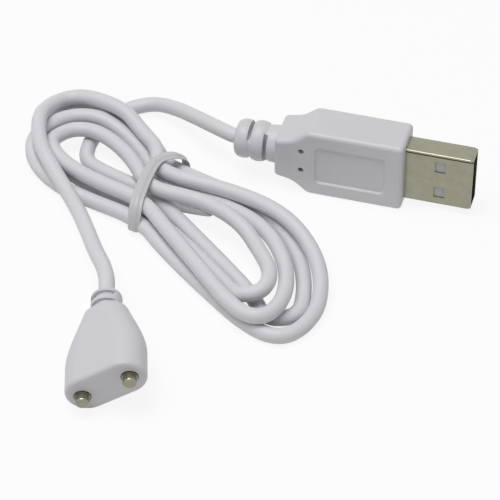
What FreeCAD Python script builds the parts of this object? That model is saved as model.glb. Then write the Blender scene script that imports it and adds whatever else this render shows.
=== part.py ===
"""Charging cable: a plug with a folded metal shell, a two-pin magnetic connector, and the cord
between them wound into a two-lobed hank that a twist tie pinches at its waist.

Millimetres, +Z up. The plug stands on one narrow side. The origin lies on the table under the middle
of the plug, and +X is the direction in which the plug goes into its socket.
"""
import FreeCAD
import Part
import math
import os

from FreeCAD import Vector

# Cord
CORD_DIAMETER = 3.0
CORD_GRIP = 10.0              # length of cord held inside the plug's strain relief
CORD_MOUTH = 2.4              # last stretch of that length, where the cord starts to bend
LEAD_DIAMETER = 1.0           # one insulated lead inside the cord
LEAD_SPREAD = 1.2             # distance between the two leads where they leave the cord

# Plug shell, a sheet folded into a flat tube with its butt seam on one wide face
SHELL_WIDTH = 12.0
SHELL_THICKNESS = 4.5
SHELL_SHEET = 0.3
SHELL_CORNER = 0.3
SHELL_INNER_CORNER = 0.1
SHELL_EXPOSED = 13.2
SHELL_BURIED = 5.6
SHELL_SEAM = 0.3
SHELL_SEAM_FROM_EDGE = 0.48    # upper narrow side to the middle of the seam
SHELL_LIP_LENGTH = 0.6        # stretch at the tip over which the sheet is drawn in
SHELL_LIP_DRAW = 0.15
WINDOW_WIDTH = 2.5
WINDOW_LENGTH = 2.1
WINDOW_SPACING = 6.1
WINDOW_FROM_TIP = 6.3

# Contact block and contacts inside the shell
TONGUE_THICKNESS = 1.9
TONGUE_RECESS = 0.7           # tip of the shell to the front of the tongue
BLOCK_LENGTH = 6.0            # full-height part behind the tongue
BLOCK_FROM_REAR = 0.5         # rear edge of the shell to the rear of the block
CONTACT_WIDTH = 1.0
CONTACT_THICKNESS = 0.3
CONTACT_PROUD = 0.1           # how far a contact stands above the tongue
CONTACT_TAIL = 2.2            # solder tail behind the block
OUTER_CONTACT_SPACING = 7.0
INNER_CONTACT_SPACING = 2.0
POWER_CONTACT_SETBACK = 1.0   # front of the tongue to the front of an outer contact
DATA_CONTACT_SETBACK = 2.0

# Plug overmould
BODY_LENGTH = 18.85
BODY_WIDTH = 15.0
BODY_THICKNESS = 9.0
BODY_ROUNDING = 0.9
SHOULDER_LENGTH = 2.9
SHOULDER_ROUNDING = 2.2
SHOULDER_FILLET = 5.0         # hollow where the shoulder runs out into the neck
NECK_LENGTH = 3.75
NECK_WIDTH_FRONT = 10.2
NECK_WIDTH_REAR = 8.6
PANEL_LENGTH = 13.4
PANEL_WIDTH = 8.2
PANEL_FROM_FRONT = 3.7
PANEL_DEPTH = 0.45
PANEL_CORNER = 0.9
PANEL_SLOPE = 0.3             # how far its sloped sides lean outwards
TOOL_HOLE_DIAMETER = 1.15
TOOL_HOLE_SPACING = 4.5
TOOL_HOLE_FROM_BODY = 1.25    # rear of the straight body to the holes
TOOL_HOLE_RISE = 0.5          # middle of the pair above the plug's axis

# Strain relief, with slots crossed from ring to ring so that it bends both ways
RELIEF_LENGTH = 8.6
RELIEF_DIAMETER_ROOT = 7.8
RELIEF_DIAMETER_END_BEAD = 7.7
RELIEF_DIAMETER_ROOT_BEAD = 8.1
RELIEF_DIAMETER_DIP = 7.1     # between the beads, where the slots are
RELIEF_DIAMETER_END = 5.4     # flat end face
RELIEF_END_ROUNDING = 1.0
RELIEF_BEADS_FROM_END = (1.9, 4.7)
RELIEF_SLOTS_FROM_END = (3.1, 6.35)
RELIEF_SLOT_WIDTH = 0.8
RELIEF_SLOT_CORE = 3.4        # thickness left between two facing slots

# Inner mould around the solder joints
INNER_LENGTH = 15.0
INNER_WIDTH = 12.8
INNER_THICKNESS = 5.8
INNER_FROM_FRONT = 1.6
INNER_NOSE_LENGTH = 5.0
INNER_NOSE_WIDTH = 7.0
INNER_NOSE_THICKNESS = 5.0

# Magnetic connector
CONNECTOR_WIDTH = 15.8
CONNECTOR_THICKNESS = 8.1
CONNECTOR_STRAIGHT = 5.5      # full-section length behind the front face
CONNECTOR_TAPER = 12.4
CONNECTOR_WAIST_WIDTH = 8.0
CONNECTOR_WAIST_THICKNESS = 6.6
CONNECTOR_NARROWING = ((0.25, 0.1), (0.52, 0.385), (0.78, 0.72))  # share of the taper, share of its narrowing
CONNECTOR_FRONT_ROUNDING = 0.7
CONNECTOR_REAR_ROUNDING = 1.1
COLLAR_LENGTH = 4.2
COLLAR_DIAMETER = 5.8
COLLAR_ROUNDING = 0.9
COLLAR_GROOVE_WIDTH = 1.1
COLLAR_GROOVE_DEPTH = 0.6
COLLAR_GROOVES_FROM_END = (1.75, 3.7)
COLLAR_LAND = 2.2             # smooth strip on each narrow side, where the grooves end
COLLAR_GRIP = 8.0             # length of cord held inside the collar
PIN_SPACING = 9.8
PIN_ROOT_DIAMETER = 2.9
PIN_ROOT_PROUD = 0.1          # how far the root stands out of the front face
PIN_TIP_DIAMETER = 2.5
PIN_PROUD = 1.8               # how far the whole pin stands out
PIN_ROUNDING = 0.4
PIN_RECESS_DIAMETER = 3.2     # round recess in the front face, with the pin standing in it
PIN_RECESS_DEPTH = 1.0
PIN_SHANK_DIAMETER = 2.0
PIN_SHANK_LENGTH = 1.4
MAGNET_DIAMETER = 3.8
MAGNET_LENGTH = 3.6

# Where the connector lies: middle of its front face in plan, the way it points, its dip and its roll
CONNECTOR_FRONT = (-26.75, -72.1)
CONNECTOR_HEADING = -72.1
CONNECTOR_DIP = 4.0
CONNECTOR_ROLL = 30.0

# Hank: u runs along it from the tie to the lobe on the plug's side, v across it
HANK_TIE = (-36.55, -15.7)
HANK_HEADING = -30.0
HANK_HEIGHT = 7.4
HANK_BEVEL = 1.8
HANK_WAIST_NEAR = -8.7
HANK_WAIST_FAR = 6.6
NEAR_LOBE = {"reach": 48.5, "width": 12.3, "bend": -4.0, "bow": 4.8}
FAR_LOBE = {"reach": 34.6, "width": 10.6, "bend": 2.0, "bow": 0.4}
LOBE_STEPS = 12
# Each opening is a ring of corner points with the arc point that follows each of them
NEAR_OPENING = ((9.0, 1.3), (21.0, 3.4), (33.0, -2.6), (21.0, -0.9))
FAR_OPENING_TIE_SIDE = ((-7.5, 1.2), (-13.5, 4.3), (-19.0, 3.6), (-17.6, 0.6), (-14.5, 0.2), (-11.0, 0.4))
FAR_OPENING_END_SIDE = ((-21.6, 3.2), (-24.2, 0.4), (-22.6, -3.9), (-20.6, -4.6), (-18.8, -2.8), (-20.6, 0.0))

# Twist tie, a flat strip with a wire ridge along its outer side
TIE_WIDTH = 2.6
TIE_THICKNESS = 0.36
TIE_RIDGE_WIDTH = 1.0
TIE_RIDGE_HEIGHT = 0.28
TIE_CLEARANCE = 0.1
TIE_LANE = 3.0                # how far out of the strip the hank is cleared
# Middle line of the strip round the waist, with one loose ear on the far side, and of its free end on
# the table: each place is followed by the heading of the strip's width
TIE_LOOP = (
    (-36.75, -24.9, 0.35, 0),
    (-36.75, -25.7, 1.4, 0),
    (-36.75, -25.5, 3.0, 0),
    (-36.85, -24.6, 5.0, 0),
    (-36.95, -23.0, 6.5, 0),
    (-37.05, -20.5, 6.85, 0),
    (-37.25, -17.0, 6.95, -4),
    (-37.25, -13.5, 6.9, -10),
    (-37.05, -11.0, 6.95, -18),
    (-36.35, -9.4, 7.3, -28),
    (-35.35, -8.2, 7.6, -36),
    (-34.25, -7.2, 7.2, -40),
    (-33.35, -6.2, 6.0, -40),
    (-32.75, -5.3, 4.2, -38),
    (-32.65, -5.0, 2.2, -34),
    (-32.85, -5.3, 0.6, -28),
    (-33.35, -6.6, 0.2, -20),
    (-34.75, -13.0, 0.2, -12),
    (-35.95, -20.0, 0.2, -8),
)
TIE_TAIL = (
    (-34.95, -15.6, 0.2, -96),
    (-31.85, -16.0, 0.2, -96),
    (-28.85, -16.3, 0.25, -94),
    (-26.35, -16.4, 0.45, -90),
    (-24.05, -16.2, 0.35, -88),
)

# Free stretches of the cord: from the plug into the hank, and from the hank to the connector
PLUG_ROUTE = (
    (-25.2, 0.0, 7.5),
    (-30.0, 3.2, 7.5),
    (-34.6, 6.6, 6.3),
    (-40.0, 10.2, 3.8),
    (-45.5, 12.7, 1.8),
    (-50.5, 8.7, 1.5),
    (-52.95, 2.6, 1.5),
)
CONNECTOR_ROUTE = (
    (-56.45, -16.1, 5.0),
    (-52.35, -20.2, 3.8),
    (-48.25, -24.6, 2.9),
    (-44.15, -30.7, 3.1),
    (-40.75, -36.8, 4.9),
)
CONNECTOR_APPROACH = 6.0      # last run of the cord, along the connector's axis

# Places that follow from the sizes above
PLUG_AXIS_HEIGHT = BODY_WIDTH / 2
PLUG_LENGTH = RELIEF_LENGTH + NECK_LENGTH + SHOULDER_LENGTH + BODY_LENGTH + SHELL_EXPOSED
SHELL_TIP = PLUG_LENGTH / 2
BODY_FRONT = SHELL_TIP - SHELL_EXPOSED
BODY_REAR = BODY_FRONT - BODY_LENGTH
NECK_FRONT = BODY_REAR - SHOULDER_LENGTH
NECK_REAR = NECK_FRONT - NECK_LENGTH
RELIEF_END = NECK_REAR - RELIEF_LENGTH
SHELL_REAR = BODY_FRONT - SHELL_BURIED
BLOCK_REAR = SHELL_REAR + BLOCK_FROM_REAR
TONGUE_REAR = BLOCK_REAR + BLOCK_LENGTH
TONGUE_FRONT = SHELL_TIP - TONGUE_RECESS
SHELL_INSIDE = SHELL_THICKNESS / 2 - SHELL_SHEET
TONGUE_FACE = -SHELL_INSIDE + TONGUE_THICKNESS
TAIL_REAR = BLOCK_REAR - CONTACT_TAIL
CORD_END_IN_PLUG = RELIEF_END + CORD_GRIP
CORD_BEND_IN_PLUG = RELIEF_END + CORD_MOUTH
CONNECTOR_BODY_LENGTH = CONNECTOR_STRAIGHT + CONNECTOR_TAPER
CONNECTOR_REAR = -(CONNECTOR_BODY_LENGTH + COLLAR_LENGTH)
CORD_END_IN_CONNECTOR = CONNECTOR_REAR + COLLAR_GRIP
MAGNET_FRONT = -PIN_RECESS_DEPTH - PIN_SHANK_LENGTH
MAGNET_REAR = MAGNET_FRONT - MAGNET_LENGTH
AXIS = Vector(0, 0, PLUG_AXIS_HEIGHT)
ALONG_X = Vector(1, 0, 0)
ALONG_Y = Vector(0, 1, 0)


def box(x, y, z):
    """A box between two places on each axis."""
    return Part.makeBox(x[1] - x[0], y[1] - y[0], z[1] - z[0], Vector(x[0], y[0], z[0]))


def plug_box(rear, front, thickness, width):
    """A box centred on the plug's axis."""
    half = thickness / 2
    return box((rear, front), (-half, half), (PLUG_AXIS_HEIGHT - width / 2, PLUG_AXIS_HEIGHT + width / 2))


def rounded_box(solid, radius, direction):
    """Round the edges of a box that run along a direction."""
    edges = [e for e in solid.Edges if abs(e.tangentAt(e.FirstParameter).dot(direction)) > 0.99]
    return solid.makeFillet(radius, edges)


def rod(diameter, start, end):
    """A plain cylinder between two points."""
    run = end - start
    return Part.makeCylinder(diameter / 2, run.Length, start, run)


def rounded_path(points):
    """Straight runs joined by tangent arcs, each as large as its two runs allow."""
    edges = []
    radii = []
    start = points[0]
    for before, corner, after in zip(points, points[1:], points[2:]):
        into = (corner - before).normalize()
        out = (after - corner).normalize()
        turn = into.getAngle(out)
        setback = 0.45 * min((corner - before).Length, (after - corner).Length)
        radius = setback / math.tan(turn / 2)
        inward = (out - into).normalize()
        first = corner - into * setback
        last = corner + out * setback
        middle = corner + inward * (radius / math.cos(turn / 2) - radius)
        edges.append(Part.LineSegment(start, first).toShape())
        edges.append(Part.Arc(first, middle, last).toShape())
        radii.append(radius)
        start = last
    edges.append(Part.LineSegment(start, points[-1]).toShape())
    return Part.Wire(edges), radii


def tube(diameter, points, name):
    """A round cord or lead along a rounded path, with its volume checked against its length."""
    path, radii = rounded_path(points)
    section = Part.Wire(Part.makeCircle(diameter / 2, points[0], points[1] - points[0]))
    solid = path.makePipeShell([section], True, True)
    expected = math.pi * diameter ** 2 / 4 * path.Length
    print(name, "radii", [round(r, 1) for r in radii], "length", round(path.Length, 1),
          "volume ratio", round(solid.Volume / expected, 4))
    return solid


def plug_section(x, thickness, width, corner):
    """A rectangle with rounded corners across the plug's axis."""
    flat = plug_box(x, x + 1, thickness, width)
    solid = rounded_box(flat, corner, ALONG_X)
    return [f for f in solid.Faces if abs(f.CenterOfMass.x - x) < 0.01][0].OuterWire


def drawn_tube(thickness, width, corner):
    """The shell's length of a flat tube, drawn in a little at the tip."""
    lip = SHELL_TIP - SHELL_LIP_LENGTH
    draw = 2 * SHELL_LIP_DRAW
    straight = rounded_box(plug_box(SHELL_REAR, lip, thickness, width), corner, ALONG_X)
    tip = Part.makeLoft([plug_section(lip, thickness, width, corner),
                         plug_section(SHELL_TIP, thickness - draw, width - draw, corner)], True, True)
    return straight.fuse(tip).removeSplitter()


def plug_shell():
    """The folded shell: a flat tube with four windows, a butt seam and a drawn-in lip."""
    outer = drawn_tube(SHELL_THICKNESS, SHELL_WIDTH, SHELL_CORNER)
    inner = drawn_tube(SHELL_THICKNESS - 2 * SHELL_SHEET, SHELL_WIDTH - 2 * SHELL_SHEET,
                       SHELL_INNER_CORNER)
    shell = outer.cut(inner)
    window = SHELL_TIP - WINDOW_FROM_TIP
    for side in (-1, 1):
        middle = PLUG_AXIS_HEIGHT + side * WINDOW_SPACING / 2
        shell = shell.cut(box((window - WINDOW_LENGTH / 2, window + WINDOW_LENGTH / 2),
                              (-SHELL_THICKNESS, SHELL_THICKNESS),
                              (middle - WINDOW_WIDTH / 2, middle + WINDOW_WIDTH / 2)))
    seam = PLUG_AXIS_HEIGHT + SHELL_WIDTH / 2 - SHELL_SEAM_FROM_EDGE
    return shell.cut(box((SHELL_REAR, SHELL_TIP), (-SHELL_THICKNESS, -SHELL_INSIDE + SHELL_SHEET / 2),
                         (seam - SHELL_SEAM / 2, seam + SHELL_SEAM / 2)))


def contacts():
    """Four flat contacts on the tongue, the outer two longer so that power makes first and breaks last."""
    made = {}
    places = {
        "contact_power": (OUTER_CONTACT_SPACING / 2, POWER_CONTACT_SETBACK),
        "contact_data_minus": (INNER_CONTACT_SPACING / 2, DATA_CONTACT_SETBACK),
        "contact_data_plus": (-INNER_CONTACT_SPACING / 2, DATA_CONTACT_SETBACK),
        "contact_ground": (-OUTER_CONTACT_SPACING / 2, POWER_CONTACT_SETBACK),
    }
    top = TONGUE_FACE + CONTACT_PROUD
    for name, (offset, setback) in places.items():
        middle = PLUG_AXIS_HEIGHT + offset
        made[name] = box((TAIL_REAR, TONGUE_FRONT - setback), (top - CONTACT_THICKNESS, top),
                         (middle - CONTACT_WIDTH / 2, middle + CONTACT_WIDTH / 2))
    return made


def plug_contact_block(contact_pieces):
    """The moulded block that fills the rear of the shell, with the tongue that carries the contacts."""
    inside_width = SHELL_WIDTH - 2 * SHELL_SHEET
    whole = plug_box(BLOCK_REAR, TONGUE_FRONT, 2 * SHELL_INSIDE, inside_width)
    whole = rounded_box(whole, SHELL_INNER_CORNER, ALONG_X)
    mouth = box((TONGUE_REAR, TONGUE_FRONT), (TONGUE_FACE, SHELL_THICKNESS), (0, BODY_WIDTH))
    block = whole.cut(mouth)
    for contact in contact_pieces.values():
        block = block.cut(contact)
    return block


def plug_leads():
    """The two leads that fan out from the cord's end to the tails of the outer contacts."""
    made = {}
    middle = TONGUE_FACE + CONTACT_PROUD - CONTACT_THICKNESS / 2
    run = TAIL_REAR - CORD_END_IN_PLUG
    for name, side in (("plug_lead_power", 1), ("plug_lead_ground", -1)):
        inner = PLUG_AXIS_HEIGHT + side * LEAD_SPREAD / 2
        outer = PLUG_AXIS_HEIGHT + side * OUTER_CONTACT_SPACING / 2
        points = [Vector(CORD_END_IN_PLUG, 0, inner), Vector(CORD_END_IN_PLUG + 0.3 * run, 0, inner),
                  Vector(TAIL_REAR - 0.3 * run, middle, outer), Vector(TAIL_REAR, middle, outer)]
        made[name] = tube(LEAD_DIAMETER, points, name)
    return made


def plug_inner_mould(filling):
    """The first mould around the shell's rear and the solder joints."""
    front = BODY_FRONT - INNER_FROM_FRONT
    rear = front - INNER_LENGTH
    nose = plug_box(rear - INNER_NOSE_LENGTH, rear, INNER_NOSE_THICKNESS, INNER_NOSE_WIDTH)
    mould = plug_box(rear, front, INNER_THICKNESS, INNER_WIDTH).fuse(nose)
    for piece in filling:
        mould = mould.cut(piece)
    return mould


def shell_envelope():
    """Everything inside the shell's outer faces."""
    outer = plug_box(SHELL_REAR, SHELL_TIP, SHELL_THICKNESS, SHELL_WIDTH)
    return rounded_box(outer, SHELL_CORNER, ALONG_X)


def overmould_block():
    """Straight body, shoulders and neck: one outline across the wide face, with all its edges rounded."""
    body = BODY_WIDTH / 2
    neck_front = NECK_WIDTH_FRONT / 2
    neck_rear = NECK_WIDTH_REAR / 2
    half = ((BODY_FRONT, body), (BODY_REAR, body), (NECK_FRONT, neck_front), (NECK_REAR, neck_rear))
    outline = list(half) + [(x, -w) for x, w in reversed(half)]
    front_face = -BODY_THICKNESS / 2
    corners = [Vector(x, front_face, PLUG_AXIS_HEIGHT + w) for x, w in outline]
    profile = Part.Face(Part.makePolygon(corners + corners[:1]))
    block = profile.extrude(ALONG_Y * BODY_THICKNESS)
    for place, radius in ((BODY_REAR, SHOULDER_ROUNDING), (NECK_FRONT, SHOULDER_FILLET)):
        edges = [e for e in block.Edges if abs(e.tangentAt(e.FirstParameter).dot(ALONG_Y)) > 0.99
                 and abs(e.CenterOfMass.x - place) < 0.01]
        block = block.makeFillet(radius, edges)
    return block.makeFillet(BODY_ROUNDING, block.Edges)


def strain_relief():
    """A sleeve of two soft beads; its slots are cut from two sides in one ring and from the other two in the next."""
    root = NECK_REAR + BODY_ROUNDING

    def at(from_end, diameter):
        return AXIS + Vector(RELIEF_END + from_end, 0, diameter / 2)

    (bead_end, bead_root), (dip_end, dip_root) = RELIEF_BEADS_FROM_END, RELIEF_SLOTS_FROM_END
    rounded = RELIEF_DIAMETER_END_BEAD - 0.2 * RELIEF_END_ROUNDING
    eased = RELIEF_DIAMETER_END + 0.6 * (rounded - RELIEF_DIAMETER_END)
    foot = at(dip_root, RELIEF_DIAMETER_DIP)
    top = AXIS + Vector(root, 0, RELIEF_DIAMETER_ROOT / 2)
    outline = [
        Part.LineSegment(at(0, 0), at(0, RELIEF_DIAMETER_END)),
        Part.Arc(at(0, RELIEF_DIAMETER_END), at(0.3 * RELIEF_END_ROUNDING, eased), at(RELIEF_END_ROUNDING, rounded)),
        Part.Arc(at(RELIEF_END_ROUNDING, rounded), at(bead_end, RELIEF_DIAMETER_END_BEAD),
                 at(dip_end, RELIEF_DIAMETER_DIP)),
        Part.Arc(at(dip_end, RELIEF_DIAMETER_DIP), at(bead_root, RELIEF_DIAMETER_ROOT_BEAD), foot),
        Part.LineSegment(foot, top),
        Part.LineSegment(top, AXIS + Vector(root, 0, 0)),
        Part.LineSegment(AXIS + Vector(root, 0, 0), at(0, 0)),
    ]
    half = Part.Face(Part.Wire([line.toShape() for line in outline]))
    relief = half.revolve(AXIS, ALONG_X, 360)
    core = RELIEF_SLOT_CORE / 2
    reach = RELIEF_DIAMETER_ROOT
    for index, place in enumerate(RELIEF_SLOTS_FROM_END):
        middle = RELIEF_END + place
        span = (middle - RELIEF_SLOT_WIDTH / 2, middle + RELIEF_SLOT_WIDTH / 2)
        for side in (-1, 1):
            deep = sorted((side * core, side * reach))
            wide = (-reach, reach)
            across, up = (wide, deep) if index % 2 == 0 else (deep, wide)
            relief = relief.cut(box(span, across, [PLUG_AXIS_HEIGHT + v for v in up]))
    return relief


def panel_outline(front, y, lean):
    """The rounded outline of a panel at one depth, grown by the lean of its sides."""
    half = PANEL_WIDTH / 2 + lean
    slab = box((front - PANEL_LENGTH - lean, front + lean), (y, y + 1),
               (PLUG_AXIS_HEIGHT - half, PLUG_AXIS_HEIGHT + half))
    slab = rounded_box(slab, PANEL_CORNER, ALONG_Y)
    return [f for f in slab.Faces if abs(f.CenterOfMass.y - y) < 0.01][0].OuterWire


def plug_overmould(filling):
    """The soft outer mould: block, strain relief, recessed panels and the tool holes in both wide faces."""
    mould = overmould_block().fuse(strain_relief())
    surface = BODY_THICKNESS / 2
    panel_front = BODY_FRONT - PANEL_FROM_FRONT
    hole = BODY_REAR - TOOL_HOLE_FROM_BODY
    for side in (-1, 1):
        floor = panel_outline(panel_front, side * (surface - PANEL_DEPTH), 0)
        brim = panel_outline(panel_front, side * (surface + PANEL_DEPTH), 2 * PANEL_SLOPE)
        mould = mould.cut(Part.makeLoft([floor, brim], True, True))
        for level in (-1, 1):
            start = Vector(hole, 0, PLUG_AXIS_HEIGHT + TOOL_HOLE_RISE + level * TOOL_HOLE_SPACING / 2)
            mould = mould.cut(rod(TOOL_HOLE_DIAMETER, start, start + ALONG_Y * side * BODY_THICKNESS))
    for piece in filling:
        mould = mould.cut(piece)
    return mould


def stadium(x, width, thickness):
    """A slot-shaped wire across the connector's axis, with its round ends apart along Y."""
    radius = thickness / 2
    reach = (width - thickness) / 2
    corners = [Vector(x, -reach, radius), Vector(x, reach, radius),
               Vector(x, reach, -radius), Vector(x, -reach, -radius)]
    ends = [Vector(x, reach + radius, 0), Vector(x, -reach - radius, 0)]
    return Part.Wire([Part.LineSegment(corners[0], corners[1]).toShape(),
                      Part.Arc(corners[1], ends[0], corners[2]).toShape(),
                      Part.LineSegment(corners[2], corners[3]).toShape(),
                      Part.Arc(corners[3], ends[1], corners[0]).toShape()])


def connector_housing():
    """The connector's moulding without its bores: full front, tapering back, ringed collar."""
    front = Part.Face(stadium(0, CONNECTOR_WIDTH, CONNECTOR_THICKNESS)).extrude(-ALONG_X * CONNECTOR_STRAIGHT)
    front_edges = [e for e in front.Edges if abs(e.CenterOfMass.x) < 0.01]
    front = front.makeFillet(CONNECTOR_FRONT_ROUNDING, front_edges)
    sections = []
    for share, narrowing in ((0, 0),) + CONNECTOR_NARROWING + ((1, 1),):
        width = CONNECTOR_WIDTH + (CONNECTOR_WAIST_WIDTH - CONNECTOR_WIDTH) * narrowing
        thickness = CONNECTOR_THICKNESS + (CONNECTOR_WAIST_THICKNESS - CONNECTOR_THICKNESS) * narrowing
        sections.append(stadium(-CONNECTOR_STRAIGHT - share * CONNECTOR_TAPER, width, thickness))
    taper = Part.makeLoft(sections, True, False)
    taper_rear = -CONNECTOR_BODY_LENGTH
    rear_edges = [e for e in taper.Edges if abs(e.CenterOfMass.x - taper_rear) < 0.01]
    taper = taper.makeFillet(CONNECTOR_REAR_ROUNDING, rear_edges)
    collar = Part.makeCylinder(COLLAR_DIAMETER / 2, COLLAR_LENGTH + COLLAR_DIAMETER / 2,
                               Vector(CONNECTOR_REAR, 0, 0), ALONG_X)
    end_edges = [e for e in collar.Edges if abs(e.CenterOfMass.x - CONNECTOR_REAR) < 0.01 and len(e.Vertexes) == 1]
    collar = collar.makeFillet(COLLAR_ROUNDING, end_edges)
    for place in COLLAR_GROOVES_FROM_END:
        start = Vector(CONNECTOR_REAR + place - COLLAR_GROOVE_WIDTH / 2, 0, 0)
        ring = Part.makeCylinder(COLLAR_DIAMETER, COLLAR_GROOVE_WIDTH, start, ALONG_X)
        ring = ring.cut(Part.makeCylinder(COLLAR_DIAMETER / 2 - COLLAR_GROOVE_DEPTH, COLLAR_GROOVE_WIDTH,
                                          start, ALONG_X))
        land = box((CONNECTOR_REAR, 0), (-COLLAR_DIAMETER, COLLAR_DIAMETER), (-COLLAR_LAND / 2, COLLAR_LAND / 2))
        collar = collar.cut(ring.cut(land))
    return front.fuse(taper).fuse(collar)


def contact_pin(side):
    """A stepped pin: shank in the mould, thicker root in the recess and a rounded tip."""
    floor = Vector(-PIN_RECESS_DEPTH, side * PIN_SPACING / 2, 0)
    step = floor + ALONG_X * (PIN_RECESS_DEPTH + PIN_ROOT_PROUD)
    tip = Part.makeCylinder(PIN_TIP_DIAMETER / 2, PIN_PROUD - PIN_ROOT_PROUD, step, ALONG_X)
    rim = [e for e in tip.Edges if e.CenterOfMass.x > PIN_PROUD - PIN_ROUNDING and len(e.Vertexes) == 1]
    tip = tip.makeFillet(PIN_ROUNDING, rim)
    root = Part.makeCylinder(PIN_ROOT_DIAMETER / 2, PIN_RECESS_DEPTH + PIN_ROOT_PROUD, floor, ALONG_X)
    shank = Part.makeCylinder(PIN_SHANK_DIAMETER / 2, PIN_SHANK_LENGTH, floor, -ALONG_X)
    return shank.fuse([root, tip]).removeSplitter()


def pin_recess(side):
    """The round recess in the front face, from its floor to well in front of the face."""
    floor = Vector(-PIN_RECESS_DEPTH, side * PIN_SPACING / 2, 0)
    return Part.makeCylinder(PIN_RECESS_DIAMETER / 2, 2 * PIN_RECESS_DEPTH, floor, ALONG_X)


def connector_leads():
    """The two leads that fan out from the cord's end to the backs of the magnets."""
    made = {}
    run = MAGNET_REAR - CORD_END_IN_CONNECTOR
    for name, side in (("connector_lead_positive", -1), ("connector_lead_negative", 1)):
        inner = side * LEAD_SPREAD / 2
        outer = side * PIN_SPACING / 2
        points = [Vector(CORD_END_IN_CONNECTOR, inner, 0), Vector(CORD_END_IN_CONNECTOR + 0.25 * run, inner, 0),
                  Vector(MAGNET_REAR - 0.25 * run, outer, 0), Vector(MAGNET_REAR, outer, 0)]
        made[name] = tube(LEAD_DIAMETER, points, name)
    return made


def connector_pieces():
    """All pieces of the connector in its own frame, pointing along +X."""
    made = connector_leads()
    for name, side in (("positive", -1), ("negative", 1)):
        made["contact_pin_" + name] = contact_pin(side)
        front = Vector(MAGNET_FRONT, side * PIN_SPACING / 2, 0)
        made["magnet_" + name] = Part.makeCylinder(MAGNET_DIAMETER / 2, MAGNET_LENGTH, front, -ALONG_X)
    body = connector_housing().cut(cord_in_connector())
    for side in (-1, 1):
        body = body.cut(pin_recess(side))
    for piece in made.values():
        body = body.cut(piece)
    made["connector_body"] = body
    return made


def cord_in_connector():
    """The stretch of cord that the collar holds, in the connector's frame."""
    return rod(CORD_DIAMETER, Vector(CONNECTOR_REAR, 0, 0), Vector(CORD_END_IN_CONNECTOR, 0, 0))


def connector_placement(body):
    """Where the connector lies, lowered or raised until its lowest edge is on the table."""
    turn = FreeCAD.Rotation(CONNECTOR_HEADING, CONNECTOR_DIP, CONNECTOR_ROLL)
    place = FreeCAD.Placement(Vector(CONNECTOR_FRONT[0], CONNECTOR_FRONT[1], 0), turn)
    lowest = body.transformed(place.toMatrix()).optimalBoundingBox(False).ZMin
    place.Base = place.Base - Vector(0, 0, lowest)
    return place


def hank_place():
    """From the hank's u and v to the part's frame."""
    turn = FreeCAD.Rotation(Vector(0, 0, 1), HANK_HEADING)
    return FreeCAD.Placement(Vector(HANK_TIE[0], HANK_TIE[1], 0), turn)


def lobe(side, reach, width, bend, bow):
    """Outer line of one lobe, from the near side of the waist round to its far side."""
    points = []
    for step in range(LOBE_STEPS + 1):
        angle = -math.pi + 2 * math.pi * step / LOBE_STEPS
        out = (1 + math.cos(angle)) / 2
        waist = HANK_WAIST_NEAR + (HANK_WAIST_FAR - HANK_WAIST_NEAR) * step / LOBE_STEPS
        swell = width * math.sin(angle) * out ** (1 / 3)
        points.append(Vector(side * reach * out, waist + bend * out + bow * math.sin(angle) ** 2 + swell, 0))
    return points


def opening(ring):
    """A prism through the hank whose outline is arcs from corner to corner."""
    points = [Vector(u, v, -1) for u, v in ring]
    arcs = []
    for index in range(0, len(points), 2):
        end = points[(index + 2) % len(points)]
        arcs.append(Part.Arc(points[index], points[index + 1], end).toShape())
    return Part.Face(Part.Wire(arcs)).extrude(Vector(0, 0, HANK_HEIGHT + 2))


def strip_frame(path, index, closed):
    """A point of the strip's middle line, the direction of the strip's width there and its outward direction."""
    if closed:
        before, after = path[index - 1], path[(index + 1) % len(path)]
    else:
        before, after = path[max(index - 1, 0)], path[min(index + 1, len(path) - 1)]
    way = (Vector(*after[:3]) - Vector(*before[:3])).normalize()
    heading = math.radians(path[index][3])
    outward = Vector(math.cos(heading), math.sin(heading), 0).cross(way).normalize()
    return Vector(*path[index][:3]), way.cross(outward).normalize(), outward


def strip(path, width, inner, outer, ridge, closed):
    """A strip along a path, in flat facets; its ridge is pressed flat where it faces the table."""
    half = width / 2
    crest = TIE_RIDGE_WIDTH / 2
    rings = []
    for index in range(len(path)):
        here, across, outward = strip_frame(path, index, closed)
        top = outer + (ridge if outward.z > -0.5 else 0)
        section = [(-half, inner), (half, inner), (half, outer), (-half, outer)]
        if ridge:
            section = section[:3] + [(crest, outer), (crest / 2, top), (-crest / 2, top), (-crest, outer)] + section[3:]
        rings.append([here + across * a + outward * b for a, b in section])
    faces = []
    for first, second in zip(rings, rings[1:] + (rings[:1] if closed else [])):
        for i, j in zip(range(len(first)), list(range(1, len(first))) + [0]):
            for corners in ([first[i], first[j], second[j]], [first[i], second[j], second[i]]):
                faces.append(Part.Face(Part.makePolygon(corners + corners[:1])))
    if not closed:
        for ring in (rings[0], rings[-1]):
            faces.append(Part.Face(Part.makePolygon(ring + ring[:1])))
    shell = Part.makeShell(faces)
    shell.sewShape()
    solid = Part.makeSolid(shell)
    if solid.Volume < 0:
        solid.reverse()
    return solid


def twist_tie():
    """The ridged strip round the waist, and its free end."""
    half = TIE_THICKNESS / 2
    loop = strip(TIE_LOOP, TIE_WIDTH, -half, half, TIE_RIDGE_HEIGHT, True)
    return loop.fuse(strip(TIE_TAIL, TIE_WIDTH, -half, half, TIE_RIDGE_HEIGHT, False))


def tie_room():
    """What the tie takes away from the hank: the lane of its loop, and that of its free end."""
    half = TIE_THICKNESS / 2 + TIE_CLEARANCE
    width = TIE_WIDTH + 2 * TIE_CLEARANCE
    lane = strip(TIE_LOOP, width, -half, TIE_LANE, 0, True)
    tail = strip(TIE_TAIL, width, -half - TIE_LANE, half + TIE_RIDGE_HEIGHT, 0, False)
    return [lane, tail]


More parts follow.
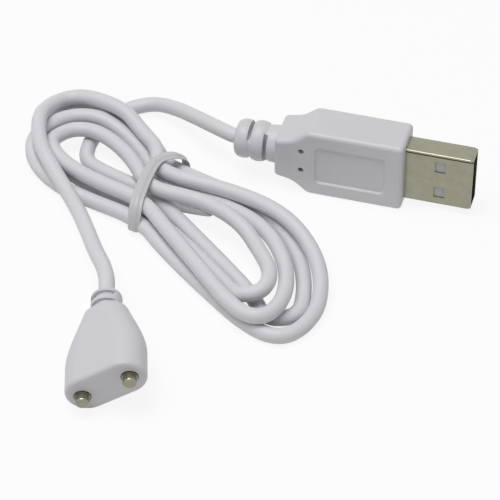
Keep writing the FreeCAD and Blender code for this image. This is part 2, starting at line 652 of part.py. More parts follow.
def cord_hank():
    """The outer shape of the wound cord, with the openings of its lobes and a waist for the tie."""
    near_lobe = lobe(1, **NEAR_LOBE)
    far_lobe = lobe(-1, **FAR_LOBE)
    outline = Part.BSplineCurve()
    outline.interpolate(near_lobe[1:-1] + far_lobe[-2:0:-1], PeriodicFlag=True)
    hank = Part.Face(Part.Wire(outline.toShape())).extrude(Vector(0, 0, HANK_HEIGHT))
    hank = hank.makeChamfer(HANK_BEVEL, [e for e in hank.Edges if e.BoundBox.ZLength < 0.01])
    for ring in (NEAR_OPENING, FAR_OPENING_TIE_SIDE, FAR_OPENING_END_SIDE):
        hank = hank.cut(opening(ring))
    hank = hank.transformed(hank_place().toMatrix())
    for room in tie_room():
        hank = hank.cut(room)
    return hank


def held_in_plug():
    """The straight stretch of cord inside the plug."""
    return rod(CORD_DIAMETER, AXIS + Vector(CORD_BEND_IN_PLUG, 0, 0), AXIS + Vector(CORD_END_IN_PLUG, 0, 0))


def free_at_plug():
    """The free cord from inside the mouth of the strain relief to the hank."""
    start = AXIS + Vector(CORD_BEND_IN_PLUG, 0, 0)
    return tube(CORD_DIAMETER, [start] + [Vector(*p) for p in PLUG_ROUTE], "cord_to_plug")


def free_at_connector(place):
    """The free cord from the hank to the connector's collar, which it meets along the collar's axis."""
    entry = place.multVec(Vector(CONNECTOR_REAR, 0, 0))
    approach = place.multVec(Vector(CONNECTOR_REAR - CONNECTOR_APPROACH, 0, 0))
    points = [Vector(*p) for p in CONNECTOR_ROUTE] + [approach, entry]
    print("cord at connector", [tuple(round(v, 2) for v in p) for p in points])
    return tube(CORD_DIAMETER, points, "cord_to_connector")


def save(name, shape):
    """Write one piece, after a check that it is whole."""
    print(name, "solids", len(shape.Solids), "valid", shape.isValid(), "volume", round(shape.Volume, 2))
    shape.exportStep(os.path.join("parts", name + ".step"))


def main():
    os.makedirs("parts", exist_ok=True)
    pieces = contacts()
    leads = plug_leads()
    held = held_in_plug()
    free = free_at_plug()
    pieces["plug_contact_block"] = plug_contact_block(contacts())
    pieces["plug_shell"] = plug_shell()
    filling = [shell_envelope(), held, free] + list(leads.values()) + list(contacts().values())
    pieces["plug_inner_mould"] = plug_inner_mould(filling)
    pieces["plug_overmould"] = plug_overmould(filling + [pieces["plug_inner_mould"]])
    pieces.update(leads)
    local = connector_pieces()
    place = connector_placement(local["connector_body"])
    for name, piece in local.items():
        pieces[name] = piece.transformed(place.toMatrix())
    hank = cord_hank()
    pieces["cord_hank"] = hank
    pieces["twist_tie"] = twist_tie()
    pieces["cord_to_plug"] = free.cut(hank).fuse(held)
    in_collar = cord_in_connector().transformed(place.toMatrix())
    pieces["cord_to_connector"] = free_at_connector(place).cut(hank).fuse(in_collar)
    for name, piece in pieces.items():
        save(name, piece)


main()
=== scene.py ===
"""Looks of a white charging cable: a plug, a two-pin magnetic connector and a cord wound into a tied hank."""

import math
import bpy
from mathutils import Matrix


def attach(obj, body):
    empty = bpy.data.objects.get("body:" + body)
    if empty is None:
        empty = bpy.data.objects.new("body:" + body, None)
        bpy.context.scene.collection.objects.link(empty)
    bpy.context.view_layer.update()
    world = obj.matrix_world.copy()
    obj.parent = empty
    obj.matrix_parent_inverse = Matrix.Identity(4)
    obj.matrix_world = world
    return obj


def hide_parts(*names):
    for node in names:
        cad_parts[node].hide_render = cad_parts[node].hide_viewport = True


bl_info = {
    "name": "Charging Cable",
    "version": (1, 0, 0),
    "blender": (4, 5, 0),
    "location": "View3D > Sidebar > Charging Cable",
    "description": "Dresses a charging cable with its wound cord, twist tie, finishes and studio stage",
    "category": "Object",
}

from collections import namedtuple

import bmesh
import bpy
from bpy.props import FloatProperty, FloatVectorProperty, PointerProperty
from mathutils import Matrix, Vector

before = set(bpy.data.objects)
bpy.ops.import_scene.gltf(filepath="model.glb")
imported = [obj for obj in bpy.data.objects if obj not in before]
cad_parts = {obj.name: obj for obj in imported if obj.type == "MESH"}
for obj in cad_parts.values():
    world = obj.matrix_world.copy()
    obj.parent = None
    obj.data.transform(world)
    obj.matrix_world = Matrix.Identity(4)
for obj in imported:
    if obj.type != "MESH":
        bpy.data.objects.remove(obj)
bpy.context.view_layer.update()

MM = 0.001

# The cord's free stretch from the plug to the tie, and from the tie to the connector, in mm.
PLUG_STRETCH = [
    (-21.25, 0.0, 7.5),
    (-24.3, 0.0, 7.5),
    (-27.2, 1.1, 7.6),
    (-30.2, 2.7, 7.2),
    (-34.35, 5.9, 5.8),
    (-39.95, 10.1, 3.7),
    (-45.35, 12.4, 1.9),
    (-50.75, 8.6, 1.5),
    (-53.05, 1.6, 1.5),
    (-53.45, -3.9, 1.5),
    (-52.25, -8.5, 1.5),
    (-48.05, -10.7, 1.6),
    (-42.65, -12.6, 1.7),
]
CONNECTOR_STRETCH = [
    (-38.45, -4.1, 4.1),
    (-43.45, -0.3, 5.0),
    (-47.85, 3.3, 6.5),
    (-55.55, 5.2, 6.7),
    (-60.25, 5.2, 5.6),
    (-62.75, 1.3, 6.2),
    (-63.25, -4.5, 7.6),
    (-60.85, -11.1, 6.4),
    (-56.45, -16.1, 5.0),
    (-52.35, -20.2, 3.8),
    (-48.25, -24.6, 2.9),
    (-44.15, -30.7, 3.1),
    (-40.75, -36.8, 4.9),
    (-35.37, -45.43, 7.87),
    (-33.53, -51.12, 7.45),
    (-32.92, -53.02, 7.31),
]

# The hank: its waist under the tie, the way it points, and where each strand passes the waist
# (across the hank and up, in mm).
WAIST = (-36.55, -15.7)
HANK_TURN = math.radians(-30)
WAIST_STRANDS = {
    "first": (0.8, 1.95),
    "low_front": (-3.5, 1.95),
    "high_front": (-4.0, 4.65),
    "outer_front": (-6.3, 2.1),
    "high_middle": (-1.1, 4.85),
    "low_back": (3.3, 1.95),
    "outer_back": (8.3, 2.05),
    "last": (3.2, 4.95),
}
# Each loop of the hank: the strand that it leaves and the one that it comes back to, its side
# (1 towards +X, -1 the other way), reach, width, bend and bow, and the heights of its nine points.
Loop = namedtuple("Loop", "leaving returning side reach width bend bow heights")
LOOPS = [
    Loop("first", "outer_back", 1, 41.6, 6.7, -6.6, 3.2, (1.7, 1.7, 1.5, 1.5, 1.5, 1.6, 1.5, 2.9, 2.9)),
    Loop("low_front", "outer_back", -1, 31.7, 7.5, 1.2, -0.3, (1.5, 1.5, 1.5, 1.5, 2.1, 3.2, 4.7, 3.4, 1.5)),
    Loop("low_front", "high_middle", 1, 37.0, 5.1, -4.3, 3.7, (2.0, 2.3, 2.6, 4.6, 5.4, 6.2, 4.5, 6.3, 6.0)),
    Loop("high_front", "high_middle", -1, 24.8, 6.0, 0.6, 0.8, (4.4, 4.3, 4.4, 4.5, 4.1, 4.3, 4.5, 4.2, 4.3)),
    Loop("high_front", "low_back", 1, 42.1, 8.4, -8.7, 4.2, (5.2, 5.2, 4.4, 4.5, 4.3, 4.6, 4.1, 4.3, 3.0)),
    Loop("outer_front", "low_back", -1, 28.3, 8.8, -0.6, 0.9, (1.6, 1.5, 2.5, 4.0, 4.5, 4.7, 4.6, 2.8, 1.5)),
    Loop("outer_front", "last", 1, 46.9, 10.7, -4.3, 4.5, (1.8, 1.8, 1.5, 1.5, 1.5, 1.9, 3.8, 5.9, 5.6)),
]

# A loop's points stand at even angles, in degrees, about the tip of its fold; more fullness makes it blunter.
LOOP_FIRST_ANGLE = -120
LOOP_STEP_ANGLE = 30
LOOP_FULLNESS = 2.4

# How far single points of the pinched folds lie off their loop, along and across the hank in mm:
# by loop and point.
FOLD_SHIFTS = {
    (0, 2): (0.4, -0.4),
    (0, 3): (0.2, -3.4),
    (0, 4): (2.4, -1.4),
    (0, 5): (0.0, -0.7),
    (0, 6): (-0.5, -0.2),
    (2, 2): (0.9, -0.5),
    (2, 3): (-1.0, -1.3),
    (2, 4): (0.6, 0.2),
    (2, 5): (0.2, 0.6),
    (2, 6): (-1.7, 0.4),
    (4, 2): (0.2, 0.1),
    (4, 3): (-0.5, 0.2),
    (4, 4): (0.1, 0.1),
    (4, 5): (-0.1, -0.1),
    (4, 6): (-0.4, -0.2),
    (6, 5): (-0.2, 0.0),
    (6, 6): (-0.2, -0.1),
}

# The twist tie's way round the waist: place in mm, and the heading of the strip's width on the table.
TIE_LOOP = [
    (-36.75, -24.9, 0.35, 0),
    (-36.75, -25.7, 1.4, 0),
    (-36.75, -25.5, 3.0, 0),
    (-36.85, -24.6, 5.0, 0),
    (-36.95, -23.0, 6.5, 0),
    (-37.05, -20.5, 6.85, 0),
    (-37.25, -17.0, 6.95, -4),
    (-37.25, -13.5, 6.9, -10),
    (-37.05, -11.0, 6.85, -18),
    (-36.35, -9.4, 6.65, -28),
    (-35.35, -8.2, 6.45, -36),
    (-34.35, -7.1, 6.0, -40),
    (-33.55, -6.0, 5.1, -40),
    (-32.95, -4.9, 3.8, -38),
    (-32.7, -4.6, 2.2, -34),
    (-32.85, -5.3, 0.6, -28),
    (-33.35, -6.6, 0.2, -20),
    (-34.75, -13.0, 0.2, -12),
    (-35.95, -20.0, 0.2, -8),
]
TIE_TAIL = [
    (-34.95, -14.8, 0.2, -96),
    (-31.85, -15.2, 0.2, -96),
    (-28.85, -15.5, 0.25, -94),
    (-26.35, -15.6, 0.45, -90),
    (-24.05, -15.4, 0.35, -88),
]

# The strip's cross-section as shares of its width and of the ridge's rise, and how much of the ridge is left
# where the strip faces down under the cord.
STRIP_SECTION = [(-0.5, 0.0), (-0.2, 0.0), (-0.13, 0.8), (0.0, 1.0), (0.13, 0.8), (0.2, 0.0), (0.5, 0.0)]
PRESSED_RIDGE = 0.1
FACING_DOWN = -0.5

# Smoothness of the cord along its way and round its section.
CORD_STEPS = 10
CORD_ROUNDNESS = 6

# Fineness of the patterns in the finishes, per metre, and how strongly they show.
CLOUD_SCALE = 160.0
WAVE_SCALE = 700.0
GRAIN_SCALE = 5200.0
GRAIN_SHARE = 0.35
PATCH_SCALE = 420.0
SPOT_SCALE = 1900.0
DRAWN_LINE_SCALES = (220.0, 9000.0, 9000.0)
STAIN_STRENGTH = 1.3
TARNISH_SHADE = 0.72
COAT_ROUGHNESS = 0.2
WHITE = (1.0, 1.0, 1.0, 1.0)

# What a finish gives for each spot of a surface.
SKIN_OUTPUTS = [
    ("Colour", "NodeSocketColor"),
    ("Roughness", "NodeSocketFloat"),
    ("Height", "NodeSocketFloat"),
]

# The stage: the floor lies a hair under the cable, and the lamp hangs over its front left.
FLOOR_REACH = 2.0
FLOOR_LEVEL = -0.00002
FLOOR_GLOW = 0.88
LAMP_PLACE = (-0.14, -0.1, 0.66)
LAMP_SIZE = 0.5
SENSOR_WIDTH = 36.0
NEAREST_SEEN = 0.01


class CableSizes(bpy.types.PropertyGroup):
    """Sizes of the pieces that are made here."""

    cord_diameter: FloatProperty(
        name="Cord diameter",
        description="Thickness of the round cord",
        default=0.003,
        min=0.001,
        unit="LENGTH",
    )
    tie_width: FloatProperty(
        name="Tie width",
        description="Width of the twist tie's strip",
        default=0.0026,
        min=0.001,
        unit="LENGTH",
    )
    tie_thickness: FloatProperty(
        name="Tie thickness",
        description="Thickness of the strip's wings",
        default=0.00036,
        min=0.0001,
        unit="LENGTH",
    )
    tie_ridge: FloatProperty(
        name="Tie ridge",
        description="Rise of the strip over its wire",
        default=0.00028,
        min=0.0,
        unit="LENGTH",
    )


class CableColours(bpy.types.PropertyGroup):
    """Colours of the cable's finishes."""

    moulding: FloatVectorProperty(
        name="Moulding",
        description="White of the plug and the connector",
        subtype="COLOR",
        default=(0.655, 0.652, 0.682),
    )
    cord: FloatVectorProperty(
        name="Cord",
        description="White of the cord's sheath",
        subtype="COLOR",
        default=(0.710, 0.705, 0.735),
    )
    tie: FloatVectorProperty(
        name="Tie",
        description="White of the twist tie",
        subtype="COLOR",
        default=(0.590, 0.588, 0.612),
    )
    insert: FloatVectorProperty(
        name="Insert",
        description="White of the contact block and the inner mould",
        subtype="COLOR",
        default=(0.50, 0.497, 0.475),
    )
    shell: FloatVectorProperty(
        name="Shell",
        description="Nickel of the plug's folded shell",
        subtype="COLOR",
        default=(0.355, 0.345, 0.262),
    )
    pin: FloatVectorProperty(
        name="Pins",
        description="Nickel of the connector's pins",
        subtype="COLOR",
        default=(0.33, 0.312, 0.235),
    )
    contact: FloatVectorProperty(
        name="Contacts",
        description="Plating of the four contacts",
        subtype="COLOR",
        default=(0.72, 0.52, 0.20),
    )
    magnet: FloatVectorProperty(
        name="Magnets",
        description="Plating of the magnets",
        subtype="COLOR",
        default=(0.52, 0.52, 0.51),
    )
    red_lead: FloatVectorProperty(
        name="Red leads",
        description="Insulation of the positive leads",
        subtype="COLOR",
        default=(0.42, 0.02, 0.018),
    )
    black_lead: FloatVectorProperty(
        name="Black leads",
        description="Insulation of the negative leads",
        subtype="COLOR",
        default=(0.02, 0.02, 0.021),
    )


class CableStage(bpy.types.PropertyGroup):
    """Camera and light of the studio stage."""

    camera_place: FloatVectorProperty(
        name="Camera place",
        description="Where the camera stands",
        subtype="TRANSLATION",
        default=(0.0852, -0.37107, 0.31574),
    )
    camera_target: FloatVectorProperty(
        name="Camera target",
        description="Point at the middle of the picture",
        subtype="TRANSLATION",
        default=(-0.01435, -0.0235, 0.0),
    )
    camera_lens: FloatProperty(
        name="Camera lens",
        description="Focal length of the camera",
        default=181.86,
        unit="CAMERA",
    )
    lamp_power: FloatProperty(
        name="Lamp power",
        description="Power of the overhead lamp",
        default=2.95,
        min=0.0,
        unit="POWER",
    )
    room_light: FloatProperty(
        name="Room light",
        description="Level of the even light all round",
        default=0.31,
        min=0.0,
    )
    floor_colour: FloatVectorProperty(
        name="Floor",
        description="Colour of the pale floor",
        subtype="COLOR",
        default=(0.86, 0.86, 0.86),
    )


def add_object(name, data):
    """Link a new object for the given mesh or curve and return it."""
    piece = bpy.data.objects.new(name, data)
    bpy.context.scene.collection.objects.link(piece)
    return piece


def node_group(name, inputs, outputs):
    """Make a shader node group with the given sockets; return it with its way in and its way out."""
    group = bpy.data.node_groups.new(name, "ShaderNodeTree")
    for label, kind, default in inputs:
        socket = group.interface.new_socket(label, in_out="INPUT", socket_type=kind)
        socket.default_value = default
    for label, kind in outputs:
        group.interface.new_socket(label, in_out="OUTPUT", socket_type=kind)
    way_in = group.nodes.new("NodeGroupInput")
    way_out = group.nodes.new("NodeGroupOutput")
    return group, way_in, way_out


def feed(tree, value, socket):
    """Join a socket to an input, or set the input to a plain value."""
    if isinstance(value, bpy.types.NodeSocket):
        tree.links.new(value, socket)
    else:
        socket.default_value = value


def add_noise(tree, scale, detail):
    """Add a noise texture of the given scale per metre, read at Object coordinates, and return its value."""
    place = tree.nodes.new("ShaderNodeTexCoord")
    noise = tree.nodes.new("ShaderNodeTexNoise")
    noise.inputs["Scale"].default_value = scale
    noise.inputs["Detail"].default_value = detail
    tree.links.new(place.outputs["Object"], noise.inputs["Vector"])
    return noise.outputs["Fac"]


def add_math(tree, operation, *terms):
    """Add a math node on the given terms, each a socket or a number, and return its value."""
    node = tree.nodes.new("ShaderNodeMath")
    node.operation = operation
    for term, socket in zip(terms, node.inputs):
        feed(tree, term, socket)
    return node.outputs["Value"]


def add_range(tree, source, low, high):
    """Map a 0 to 1 value to the given range; either end may be a socket."""
    spread = tree.nodes.new("ShaderNodeMapRange")
    tree.links.new(source, spread.inputs["Value"])
    feed(tree, low, spread.inputs["To Min"])
    feed(tree, high, spread.inputs["To Max"])
    return spread.outputs["Result"]


def add_mix(tree, blend, share, first, second):
    """Blend two colours by the given share and return the blended colour."""
    mix = tree.nodes.new("ShaderNodeMix")
    mix.data_type = "RGBA"
    mix.blend_type = blend
    feed(tree, share, mix.inputs["Factor"])
    feed(tree, first, mix.inputs["A"])
    feed(tree, second, mix.inputs["B"])
    return mix.outputs["Result"]


def moulded_skin():
    """Skin of moulded plastic: clouded colour, uneven gloss and a fine spark-eroded grain."""
    found = bpy.data.node_groups.get("Moulded skin")
    if found:
        return found
    group, way_in, way_out = node_group(
        "Moulded skin",
        [
            ("Colour", "NodeSocketColor", (0.65, 0.65, 0.65, 1.0)),
            ("Clouding", "NodeSocketFloat", 0.04),
            ("Gloss low", "NodeSocketFloat", 0.36),
            ("Gloss high", "NodeSocketFloat", 0.50),
        ],
        SKIN_OUTPUTS,
    )
    given = way_in.outputs
    cloud = add_noise(group, CLOUD_SCALE, 3.0)
    grain = add_noise(group, GRAIN_SCALE, 2.0)
    wave = add_noise(group, WAVE_SCALE, 2.0)
    shade = add_math(group, "SUBTRACT", 1.0, add_math(group, "MULTIPLY", cloud, given["Clouding"]))
    feed(group, add_mix(group, "MULTIPLY", 1.0, given["Colour"], shade), way_out.inputs["Colour"])
    feed(group, add_range(group, wave, given["Gloss low"], given["Gloss high"]), way_out.inputs["Roughness"])
    feed(group, add_math(group, "MULTIPLY_ADD", grain, GRAIN_SHARE, wave), way_out.inputs["Height"])
    return group


def plated_sheet():
    """Plated sheet metal: drawing lines along the part, dull patches and a slight tarnish."""
    found = bpy.data.node_groups.get("Plated sheet")
    if found:
        return found
    group, way_in, way_out = node_group(
        "Plated sheet",
        [
            ("Colour", "NodeSocketColor", (0.36, 0.35, 0.26, 1.0)),
            ("Tarnish", "NodeSocketColor", (0.26, 0.25, 0.18, 1.0)),
            ("Polish", "NodeSocketFloat", 0.24),
            ("Dullness", "NodeSocketFloat", 0.42),
        ],
        SKIN_OUTPUTS,
    )
    given = way_in.outputs
    place = group.nodes.new("ShaderNodeTexCoord")
    along = group.nodes.new("ShaderNodeMapping")
    along.inputs["Scale"].default_value = DRAWN_LINE_SCALES
    group.links.new(place.outputs["Object"], along.inputs["Vector"])
    lines = group.nodes.new("ShaderNodeTexNoise")
    lines.inputs["Scale"].default_value = 1.0
    lines.inputs["Detail"].default_value = 2.0
    group.links.new(along.outputs["Vector"], lines.inputs["Vector"])
    patch = add_noise(group, PATCH_SCALE, 4.0)
    spots = add_noise(group, SPOT_SCALE, 2.0)
    worn = add_range(group, add_math(group, "MULTIPLY", patch, spots), 0.0, STAIN_STRENGTH)
    feed(group, add_mix(group, "MIX", worn, given["Colour"], given["Tarnish"]), way_out.inputs["Colour"])
    feed(group, add_range(group, patch, given["Polish"], given["Dullness"]), way_out.inputs["Roughness"])
    feed(group, lines.outputs["Fac"], way_out.inputs["Height"])
    return group


def dressed_material(
    name, group, values, metallic=0.0, coat=0.0, soft=0.0, depth=0.0004, bump=0.05, step=0.00003
):
    """Make a material whose colour, gloss and grain come from a shared node group set to these values."""
    material = bpy.data.materials.new(name)
    material.use_nodes = True
    tree = material.node_tree
    shader = tree.nodes["Principled BSDF"]
    shader.inputs["Metallic"].default_value = metallic
    shader.inputs["Coat Weight"].default_value = coat
    shader.inputs["Coat Roughness"].default_value = COAT_ROUGHNESS
    shader.inputs["Subsurface Weight"].default_value = soft
    shader.inputs["Subsurface Radius"].default_value = (1.0, 1.0, 1.0)
    shader.inputs["Subsurface Scale"].default_value = depth
    skin = tree.nodes.new("ShaderNodeGroup")
    skin.node_tree = group
    for label, value in values.items():
        skin.inputs[label].default_value = value
    relief = tree.nodes.new("ShaderNodeBump")
    relief.inputs["Strength"].default_value = bump
    relief.inputs["Distance"].default_value = step
    tree.links.new(skin.outputs["Colour"], shader.inputs["Base Color"])
    tree.links.new(skin.outputs["Roughness"], shader.inputs["Roughness"])
    tree.links.new(skin.outputs["Height"], relief.inputs["Height"])
    tree.links.new(relief.outputs["Normal"], shader.inputs["Normal"])
    return material


def plastic(name, colour, clouding, gloss_low, gloss_high, **finish):
    """A moulded plastic of the given colour, clouding and range of gloss."""
    values = {
        "Colour": solid_colour(colour),
        "Clouding": clouding,
        "Gloss low": gloss_low,
        "Gloss high": gloss_high,
    }
    return dressed_material(name, moulded_skin(), values, **finish)


def plating(name, colour, polish, dullness):
    """A plated metal of the given colour, with the gloss of its best and its dullest patches."""
    values = {
        "Colour": solid_colour(colour),
        "Tarnish": solid_colour([TARNISH_SHADE * part for part in colour]),
        "Polish": polish,
        "Dullness": dullness,
    }
    return dressed_material(name, plated_sheet(), values, metallic=1.0, bump=0.03)


def solid_colour(colour):
    """A colour property as the four numbers of a colour socket."""
    return (*colour, 1.0)


def dress_nodes(material, *names):
    """Give the named CAD nodes this material."""
    for name in names:
        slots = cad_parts[name].data.materials
        slots.clear()
        slots.append(material)


def hank_place(along, across, height):
    """A point of the hank, given along and across it from its waist in mm, in metres."""
    x = WAIST[0] + along * math.cos(HANK_TURN) - across * math.sin(HANK_TURN)
    y = WAIST[1] + along * math.sin(HANK_TURN) + across * math.cos(HANK_TURN)
    return (x * MM, y * MM, height * MM)


def waist_point(strand):
    """Where a strand passes under the tie, which crosses the hank at a slant."""
    across, height = WAIST_STRANDS[strand]
    return hank_place(across * math.tan(HANK_TURN), across, height)


def loop_points(number):
    """Nine points of one loop of the hank, from the strand that it leaves to the one it comes back to."""
    loop = LOOPS[number]
    near = WAIST_STRANDS[loop.leaving][0]
    far = WAIST_STRANDS[loop.returning][0]
    points = []
    for step, height in enumerate(loop.heights):
        angle = math.radians(LOOP_STEP_ANGLE * step + LOOP_FIRST_ANGLE)
        out = 1.0 - abs(math.sin(angle / 2)) ** LOOP_FULLNESS
        across = near + (far - near) * (angle + math.pi) / (2 * math.pi)
        across += loop.bend * out + loop.bow * math.sin(angle) ** 2
        across += loop.width * math.sin(angle) * math.cbrt(out)
        further, aside = FOLD_SHIFTS.get((number, step), (0.0, 0.0))
        points.append(hank_place(loop.side * loop.reach * out + further, across + aside, height))
    return points


def stretch_points(stretch):
    """Points of a free stretch of the cord, in metres."""
    return [tuple(part * MM for part in point) for point in stretch]


def cord_route():
    """Control points of the whole cord: out of the plug, through the hank's turns and on to the connector."""
    points = stretch_points(PLUG_STRETCH)
    points.append(waist_point("first"))
    for number, loop in enumerate(LOOPS):
        turn = loop_points(number)
        if loop.side > 0:
            points += turn + [waist_point(loop.returning)]
        else:
            points += turn[::-1] + [waist_point(loop.leaving)]
    return points + stretch_points(CONNECTOR_STRETCH)


class CABLE_OT_cord(bpy.types.Operator):
    """Wind the cord from the plug through the tied hank to the connector"""

    bl_idname = "cable.cord"
    bl_label = "Cord"

    def execute(self, context):
        sizes = context.scene.cable_sizes
        colours = context.scene.cable_colours
        curve = bpy.data.curves.new("cord", "CURVE")
        curve.dimensions = "3D"
        curve.resolution_u = CORD_STEPS
        curve.bevel_depth = sizes.cord_diameter / 2
        curve.bevel_resolution = CORD_ROUNDNESS
        route = cord_route()
        line = curve.splines.new("NURBS")
        line.points.add(len(route) - 1)
        for point, place in zip(line.points, route):
            point.co = (*place, 1.0)
        line.order_u = 3
        line.use_endpoint_u = True
        cord = add_object("cord", curve)
        sheath = plastic("Satin sheath", colours.cord, 0.05, 0.40, 0.52, soft=0.8, depth=0.0012, bump=0.06)
        curve.materials.append(sheath)
        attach(cord, "root")
        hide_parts("cord_to_plug", "cord_hank", "cord_to_connector")
        return {"FINISHED"}


def strip_frame(path, index, ridge, closed):
    """The strip's width, ridge and way at one point of its path, as a matrix; face down, it is flat."""
    count = len(path)
    here = Vector(path[index][:3]) * MM
    if closed:
        before, after = path[index - 1], path[(index + 1) % count]
    else:
        before, after = path[max(index - 1, 0)], path[min(index + 1, count - 1)]
    way = (Vector(after[:3]) - Vector(before[:3])).normalized()
    heading = math.radians(path[index][3])
    width = Vector((math.cos(heading), math.sin(heading), 0.0))
    face = width.cross(way).normalized()
    width = way.cross(face).normalized()
    rise = ridge if face.z > FACING_DOWN else PRESSED_RIDGE * ridge
    columns = Matrix((width, face * rise, way)).transposed().to_4x4()
    columns.translation = here
    return columns


def lay_strip(bm, path, width, ridge, closed):
    """Draw a flat strip with a raised middle along the path, its cross edge extruded from point to point."""
    place = strip_frame(path, 0, ridge, closed)
    verts = [bm.verts.new(place @ Vector((a * width, b, 0.0))) for a, b in STRIP_SECTION]
    edges = [bm.edges.new(pair) for pair in zip(verts, verts[1:])]
    first = list(edges)
    for index in range(1, len(path)):
        made = bmesh.ops.extrude_edge_only(bm, edges=edges)["geom"]
        verts = [item for item in made if isinstance(item, bmesh.types.BMVert)]
        edges = [e for e in made if isinstance(e, bmesh.types.BMEdge) and all(v in verts for v in e.verts)]
        new_place = strip_frame(path, index, ridge, closed)
        bmesh.ops.transform(bm, matrix=new_place @ place.inverted(), verts=verts)
        place = new_place
    if closed:
        bmesh.ops.bridge_loops(bm, edges=first + edges)


class CABLE_OT_tie(bpy.types.Operator):
    """Lay the twist tie's ridged strip round the hank's waist, with its loose tail"""

    bl_idname = "cable.tie"
    bl_label = "Twist tie"

    def execute(self, context):
        sizes = context.scene.cable_sizes
        colours = context.scene.cable_colours
        bm = bmesh.new()
        lay_strip(bm, TIE_LOOP, sizes.tie_width, sizes.tie_ridge, True)
        lay_strip(bm, TIE_TAIL, sizes.tie_width, sizes.tie_ridge, False)
        bmesh.ops.recalc_face_normals(bm, faces=bm.faces)
        mesh = bpy.data.meshes.new("twist_tie_strip")
        bm.to_mesh(mesh)
        bm.free()
        mesh.shade_smooth()
        tie = add_object("twist_tie_strip", mesh)
        wall = tie.modifiers.new("Thickness", "SOLIDIFY")
        wall.thickness = sizes.tie_thickness
        wall.offset = 0.0
        round_off = tie.modifiers.new("Rounding", "SUBSURF")
        round_off.levels = 2
        round_off.render_levels = 2
        mesh.materials.append(plastic("Tie strip", colours.tie, 0.05, 0.34, 0.46, coat=0.1, bump=0.06))
        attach(tie, "root")
        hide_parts("twist_tie")
        return {"FINISHED"}


class CABLE_OT_mouldings(bpy.types.Operator):
    """Give the plug's and the connector's mouldings their satin white, and the inserts theirs"""

    bl_idname = "cable.mouldings"
    bl_label = "Mouldings"

    def execute(self, context):
        colours = context.scene.cable_colours
        satin = plastic("Satin moulding", colours.moulding, 0.035, 0.36, 0.46)
        dress_nodes(satin, "plug_overmould", "connector_body")
        insert = plastic("Plain insert", colours.insert, 0.05, 0.42, 0.56)
        dress_nodes(insert, "plug_contact_block", "plug_inner_mould")
        return {"FINISHED"}


class CABLE_OT_metal(bpy.types.Operator):
    """Give the shell, the pins, the contacts and the magnets their platings"""

    bl_idname = "cable.metal"
    bl_label = "Metal pieces"

    def execute(self, context):
        colours = context.scene.cable_colours
        shell = plating("Nickel shell", colours.shell, 0.26, 0.42)
        dress_nodes(shell, "plug_shell")
        pins = plating("Nickel pins", colours.pin, 0.20, 0.34)
        dress_nodes(pins, "contact_pin_positive", "contact_pin_negative")
        contacts = plating("Gold plating", colours.contact, 0.18, 0.30)
        dress_nodes(contacts, "contact_power", "contact_data_minus", "contact_data_plus", "contact_ground")
        magnets = plating("Magnet plating", colours.magnet, 0.22, 0.36)
        dress_nodes(magnets, "magnet_positive", "magnet_negative")
        return {"FINISHED"}


class CABLE_OT_leads(bpy.types.Operator):
    """Give the leads inside the mouldings their red and black insulation"""

    bl_idname = "cable.leads"
    bl_label = "Leads"

    def execute(self, context):
        colours = context.scene.cable_colours
        red = plastic("Red insulation", colours.red_lead, 0.12, 0.34, 0.48)
        dress_nodes(red, "plug_lead_power", "connector_lead_positive")
        black = plastic("Black insulation", colours.black_lead, 0.12, 0.34, 0.48)
        dress_nodes(black, "plug_lead_ground", "connector_lead_negative")
        return {"FINISHED"}


def seen_rays(tree):
    """A mask of the rays that show the background: from the camera, off gloss and through clear pieces."""
    path = tree.nodes.new("ShaderNodeLightPath")
    seen = add_math(tree, "MAXIMUM", path.outputs["Is Camera Ray"], path.outputs["Is Glossy Ray"])
    return add_math(tree, "MAXIMUM", seen, path.outputs["Is Transmission Ray"])


def stage_world(level):
    """White for the camera and for reflections, and an even grey light for the rest."""
    world = bpy.data.worlds.new("Studio")
    world.use_nodes = True
    tree = world.node_tree
    back = tree.nodes["Background"]
    back.inputs["Color"].default_value = WHITE
    tree.links.new(add_range(tree, seen_rays(tree), level, 1.0), back.inputs["Strength"])
    bpy.context.scene.world = world


def floor_material(colour):
    """Pale floor that looks white to the camera and keeps a soft shadow."""
    material = bpy.data.materials.new("Pale floor")
    material.use_nodes = True
    tree = material.node_tree
    tree.nodes.clear()
    out = tree.nodes.new("ShaderNodeOutputMaterial")
    matt = tree.nodes.new("ShaderNodeBsdfDiffuse")
    matt.inputs["Color"].default_value = solid_colour(colour)
    glow = tree.nodes.new("ShaderNodeEmission")
    glow.inputs["Color"].default_value = WHITE
    glow.inputs["Strength"].default_value = 1.0
    mix = tree.nodes.new("ShaderNodeMixShader")
    tree.links.new(add_math(tree, "MULTIPLY", seen_rays(tree), FLOOR_GLOW), mix.inputs["Fac"])
    tree.links.new(matt.outputs["BSDF"], mix.inputs[1])
    tree.links.new(glow.outputs["Emission"], mix.inputs[2])
    tree.links.new(mix.outputs["Shader"], out.inputs["Surface"])
    return material


def stand_facing(thing, place, target):
    """Put a lamp or a camera in its place, facing the target."""
    thing.location = place
    thing.rotation_euler = (Vector(target) - Vector(place)).to_track_quat("-Z", "Y").to_euler()


def add_floor(colour):
    """Lay the floor and return it."""
    bm = bmesh.new()
    bmesh.ops.create_grid(bm, x_segments=1, y_segments=1, size=FLOOR_REACH)
    bmesh.ops.translate(bm, vec=(0.0, 0.0, FLOOR_LEVEL), verts=bm.verts)
    mesh = bpy.data.meshes.new("floor")
    bm.to_mesh(mesh)
    bm.free()
    mesh.materials.append(floor_material(colour))
    return add_object("floor", mesh)


def add_lamp(power, target):
    """Hang the large soft lamp."""
    lamp = bpy.data.lights.new("Overhead lamp", "AREA")
    lamp.shape = "DISK"
    lamp.size = LAMP_SIZE
    lamp.energy = power
    stand_facing(add_object("Overhead lamp", lamp), LAMP_PLACE, target)


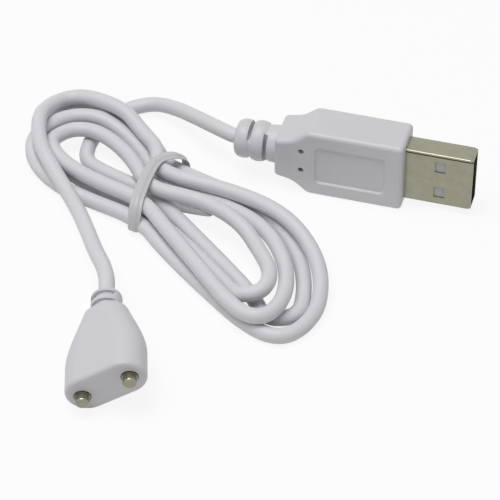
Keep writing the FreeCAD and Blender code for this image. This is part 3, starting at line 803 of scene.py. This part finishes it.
def add_camera(focal_length, place, target):
    """Set up the camera and return it."""
    lens = bpy.data.cameras.new("Camera")
    lens.lens = focal_length
    lens.sensor_width = SENSOR_WIDTH
    lens.clip_start = NEAREST_SEEN
    camera = add_object("Camera", lens)
    stand_facing(camera, place, target)
    return camera


class CABLE_OT_stage(bpy.types.Operator):
    """Set the pale floor, the soft lamp, the white room and the camera"""

    bl_idname = "cable.stage"
    bl_label = "Stage"

    def execute(self, context):
        stage = context.scene.cable_stage
        floor = add_floor(stage.floor_colour)
        add_lamp(stage.lamp_power, stage.camera_target)
        stage_world(stage.room_light)
        context.scene.camera = add_camera(stage.camera_lens, stage.camera_place, stage.camera_target)
        context.scene.view_settings.view_transform = "Standard"
        return {"FINISHED"}


class CABLE_PT_panel(bpy.types.Panel):
    """Sizes, colours and steps of the charging cable"""

    bl_idname = "CABLE_PT_panel"
    bl_label = "Charging Cable"
    bl_space_type = "VIEW_3D"
    bl_region_type = "UI"
    bl_category = "Charging Cable"

    def draw(self, context):
        layout = self.layout
        for group in (context.scene.cable_sizes, context.scene.cable_colours, context.scene.cable_stage):
            box = layout.box()
            for name in group.__annotations__:
                box.prop(group, name)
        for operator in OPERATORS:
            layout.operator(operator.bl_idname)


OPERATORS = (CABLE_OT_stage, CABLE_OT_tie, CABLE_OT_cord, CABLE_OT_mouldings, CABLE_OT_metal, CABLE_OT_leads)
CLASSES = (CableSizes, CableColours, CableStage, *OPERATORS, CABLE_PT_panel)


def register():
    for cls in CLASSES:
        bpy.utils.register_class(cls)
    bpy.types.Scene.cable_sizes = PointerProperty(type=CableSizes)
    bpy.types.Scene.cable_colours = PointerProperty(type=CableColours)
    bpy.types.Scene.cable_stage = PointerProperty(type=CableStage)


def unregister():
    del bpy.types.Scene.cable_stage
    del bpy.types.Scene.cable_colours
    del bpy.types.Scene.cable_sizes
    for cls in reversed(CLASSES):
        bpy.utils.unregister_class(cls)


def main():
    register()
    bpy.ops.cable.stage()
    bpy.ops.cable.tie()
    bpy.ops.cable.cord()
    bpy.ops.cable.mouldings()
    bpy.ops.cable.metal()
    bpy.ops.cable.leads()


if __name__ == "__main__":
    main()
